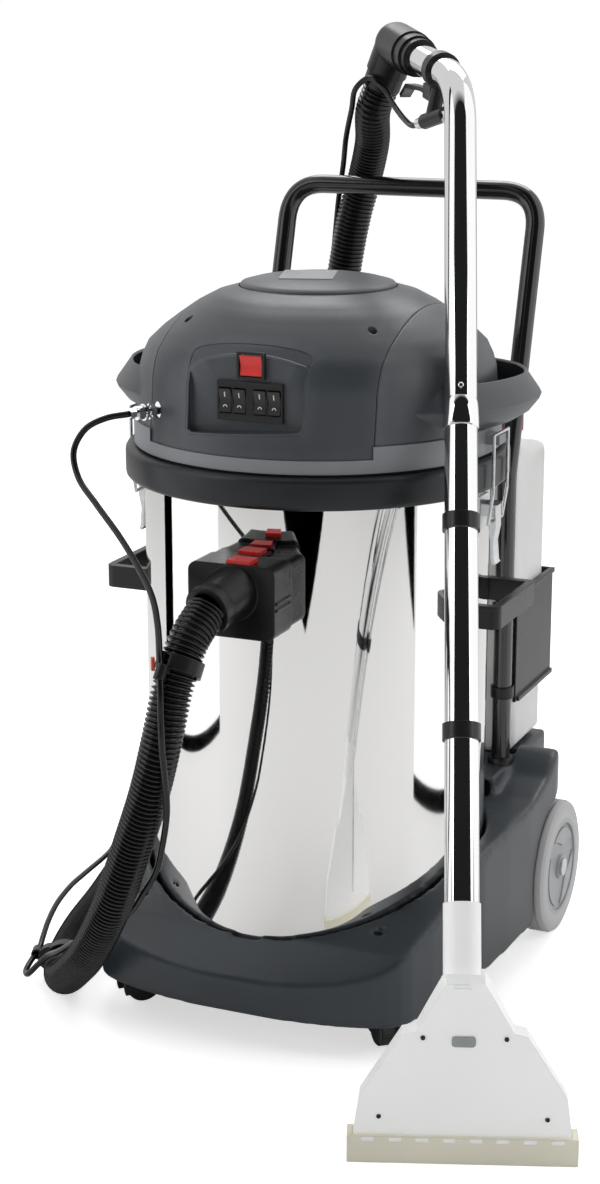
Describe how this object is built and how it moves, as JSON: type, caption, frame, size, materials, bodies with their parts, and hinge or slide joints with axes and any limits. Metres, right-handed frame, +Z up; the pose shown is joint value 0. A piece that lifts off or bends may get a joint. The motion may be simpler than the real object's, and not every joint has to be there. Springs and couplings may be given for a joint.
{
  "type": "carpet cleaner machine",
  "caption": "Wheeled spray-extraction carpet cleaner: steel drum, clamped motor head, rear tank, hoses and leaning floor wand.",
  "frame": {"origin": "centre of the bounding box at floor level, hoses left out", "axes": "+Z up, -Y the side with the switches and the suction inlet, +X the side the wand leans on"},
  "size_m": [0.8986, 0.9344, 1.2025],
  "materials": {
    "base_grey": "satin",
    "dark_steel": "satin",
    "steel": "satin",
    "polished_steel": "polished",
    "ring_dark": "satin",
    "black_plastic": "satin",
    "black_gloss": "gloss",
    "tank_white": "satin translucent",
    "band_grey": "satin",
    "gasket_black": "matte",
    "head_grey": "satin",
    "cheek_grey": "satin",
    "switch_black": "gloss",
    "chrome": "polished",
    "motor_alloy": "cast",
    "hose_black": "semi gloss ribbed",
    "thin_black": "semi gloss",
    "hub_grey": "satin",
    "tyre_grey": "matte",
    "caster_black": "satin",
    "red_plastic": "gloss",
    "wand_black": "satin",
    "tool_white": "satin",
    "lip_cream": "satin"
  },
  "bodies": {
    "machine": {"trolley_base": "base_grey", "screws": "dark_steel", "rear_axle": "steel", "drum": "polished_steel", "drum_ring": "ring_dark", "drum_handle_right": "black_plastic", "drum_handle_left": "black_plastic", "latch_brackets": "steel", "push_handle": "black_gloss", "tank_holder": "black_plastic", "solution_tank": "tank_white", "inlet_socket": "black_plastic", "hose_connector": "black_plastic", "motor_deck": "band_grey", "head_gasket": "gasket_black", "head_cover": "head_grey", "head_cheek_right": "cheek_grey", "head_cheek_left": "cheek_grey", "head_cap": "cheek_grey", "switch_pan": "head_grey", "switch_frames": "switch_black", "coupling_body": "chrome", "cord_gland": "black_plastic", "vacuum_motor_right": "motor_alloy", "vacuum_motor_left": "motor_alloy", "float_cage": "black_plastic", "suction_hose": "hose_black", "solution_hose": "thin_black", "hose_clips": "black_plastic"},
    "wheel_right": {"wheel_right": "hub_grey", "tyre_right": "tyre_grey"},
    "wheel_left": {"wheel_left": "hub_grey", "tyre_left": "tyre_grey"},
    "caster_fork_right": {"caster_fork_right": "caster_black"},
    "caster_fork_left": {"caster_fork_left": "caster_black"},
    "caster_wheel_right": {"caster_wheel_right": "caster_black"},
    "caster_wheel_left": {"caster_wheel_left": "caster_black"},
    "latch_lever_right": {"latch_lever_right": "steel"},
    "latch_lever_left": {"latch_lever_left": "steel"},
    "latch_bail_right": {"latch_bail_right": "steel"},
    "latch_bail_left": {"latch_bail_left": "steel"},
    "red_rocker": {"red_rocker": "red_plastic"},
    "rocker_1": {"rocker_1": "switch_black"},
    "rocker_2": {"rocker_2": "switch_black"},
    "rocker_3": {"rocker_3": "switch_black"},
    "rocker_4": {"rocker_4": "switch_black"},
    "tank_cap": {"tank_cap": "red_plastic"},
    "coupling_sleeve": {"coupling_sleeve": "chrome"},
    "red_tab_front": {"red_tab_front": "red_plastic"},
    "red_tab_rear": {"red_tab_rear": "red_plastic"},
    "wand": {"wand_tube_lower": "chrome", "wand_tube_upper": "chrome", "wand_elbow": "wand_black", "wand_valve": "wand_black", "solution_pipe": "chrome", "wand_clips": "wand_black", "floor_tool": "tool_white", "tool_lip": "lip_cream", "tool_screws": "dark_steel"},
    "wand_trigger": {"wand_trigger": "wand_black"}
  },
  "joints": [
    {"name": "wheel_right_roll", "type": "hinge", "parent": "machine", "child": "wheel_right", "pos_m": [0.136, 0.284, 0.0903], "axis": [1, 0, 0], "continuous": true},
    {"name": "wheel_left_roll", "type": "hinge", "parent": "machine", "child": "wheel_left", "pos_m": [-0.342, 0.284, 0.0903], "axis": [1, 0, 0], "continuous": true},
    {"name": "caster_right_swivel", "type": "hinge", "parent": "machine", "child": "caster_fork_right", "pos_m": [0.047, -0.124, 0.06], "axis": [0, 0, 1], "continuous": true},
    {"name": "caster_left_swivel", "type": "hinge", "parent": "machine", "child": "caster_fork_left", "pos_m": [-0.253, -0.124, 0.06], "axis": [0, 0, 1], "continuous": true},
    {"name": "caster_right_roll", "type": "hinge", "parent": "caster_fork_right", "child": "caster_wheel_right", "pos_m": [0.061, -0.141, 0.025], "axis": [0.7716, 0.6361, 0], "continuous": true},
    {"name": "caster_left_roll", "type": "hinge", "parent": "caster_fork_left", "child": "caster_wheel_left", "pos_m": [-0.267, -0.141, 0.025], "axis": [-0.7716, 0.6361, 0], "continuous": true},
    {"name": "latch_right_open", "type": "hinge", "parent": "machine", "child": "latch_lever_right", "pos_m": [0.133, 0.031, 0.64], "axis": [0, -1, 0], "range_deg": [0, 60]},
    {"name": "latch_left_open", "type": "hinge", "parent": "machine", "child": "latch_lever_left", "pos_m": [-0.339, 0.031, 0.64], "axis": [0, 1, 0], "range_deg": [0, 60]},
    {"name": "bail_right_swing", "type": "hinge", "parent": "latch_lever_right", "child": "latch_bail_right", "pos_m": [0.133, 0.031, 0.626], "axis": [0, -1, 0], "range_deg": [-90, 0]},
    {"name": "bail_left_swing", "type": "hinge", "parent": "latch_lever_left", "child": "latch_bail_left", "pos_m": [-0.339, 0.031, 0.626], "axis": [0, 1, 0], "range_deg": [-90, 0]},
    {"name": "red_rocker_rock", "type": "hinge", "parent": "machine", "child": "red_rocker", "pos_m": [-0.1005, -0.159, 0.827], "axis": [1, 0, 0], "range_deg": [0, 10]},
    {"name": "rocker_1_rock", "type": "hinge", "parent": "machine", "child": "rocker_1", "pos_m": [-0.1335, -0.159, 0.785], "axis": [1, 0, 0], "range_deg": [0, 10]},
    {"name": "rocker_2_rock", "type": "hinge", "parent": "machine", "child": "rocker_2", "pos_m": [-0.1155, -0.159, 0.785], "axis": [1, 0, 0], "range_deg": [0, 10]},
    {"name": "rocker_3_rock", "type": "hinge", "parent": "machine", "child": "rocker_3", "pos_m": [-0.0895, -0.159, 0.785], "axis": [1, 0, 0], "range_deg": [0, 10]},
    {"name": "rocker_4_rock", "type": "hinge", "parent": "machine", "child": "rocker_4", "pos_m": [-0.0715, -0.159, 0.785], "axis": [1, 0, 0], "range_deg": [0, 10]},
    {"name": "tank_cap_turn", "type": "hinge", "parent": "machine", "child": "tank_cap", "pos_m": [0.037, 0.331, 0.69], "axis": [0, 0, 1], "continuous": true},
    {"name": "coupling_sleeve_slide", "type": "slide", "parent": "machine", "child": "coupling_sleeve", "axis": [0.5, 0.866, 0], "range_m": [0, 0.0025], "stiffness_N_per_m": 800, "springref_m": -0.002},
    {"name": "red_tab_front_press", "type": "slide", "parent": "machine", "child": "red_tab_front", "axis": [0, 0, -1], "range_m": [0, 0.002], "stiffness_N_per_m": 1200, "springref_m": -0.002},
    {"name": "red_tab_rear_press", "type": "slide", "parent": "machine", "child": "red_tab_rear", "axis": [0, 0, -1], "range_m": [0, 0.002], "stiffness_N_per_m": 1200, "springref_m": -0.002},
    {"name": "wand_lift", "type": "hinge", "parent": "machine", "child": "wand", "pos_m": [0.24928, -0.38304, 0], "axis": [0.936, 0.352, 0], "range_deg": [0, 12]},
    {"name": "trigger_squeeze", "type": "hinge", "parent": "wand", "child": "wand_trigger", "pos_m": [-0.01673, 0.19983, 1.11996], "axis": [0.7766, 0.63, 0], "range_deg": [0, 5], "stiffness_Nm_per_rad": 0.6, "springref_deg": -5.73}
  ],
  "couplings": [
    {"joint": "bail_right_swing", "follows": "latch_right_open", "ratio": -1.5},
    {"joint": "bail_left_swing", "follows": "latch_left_open", "ratio": -1.5}
  ]
}
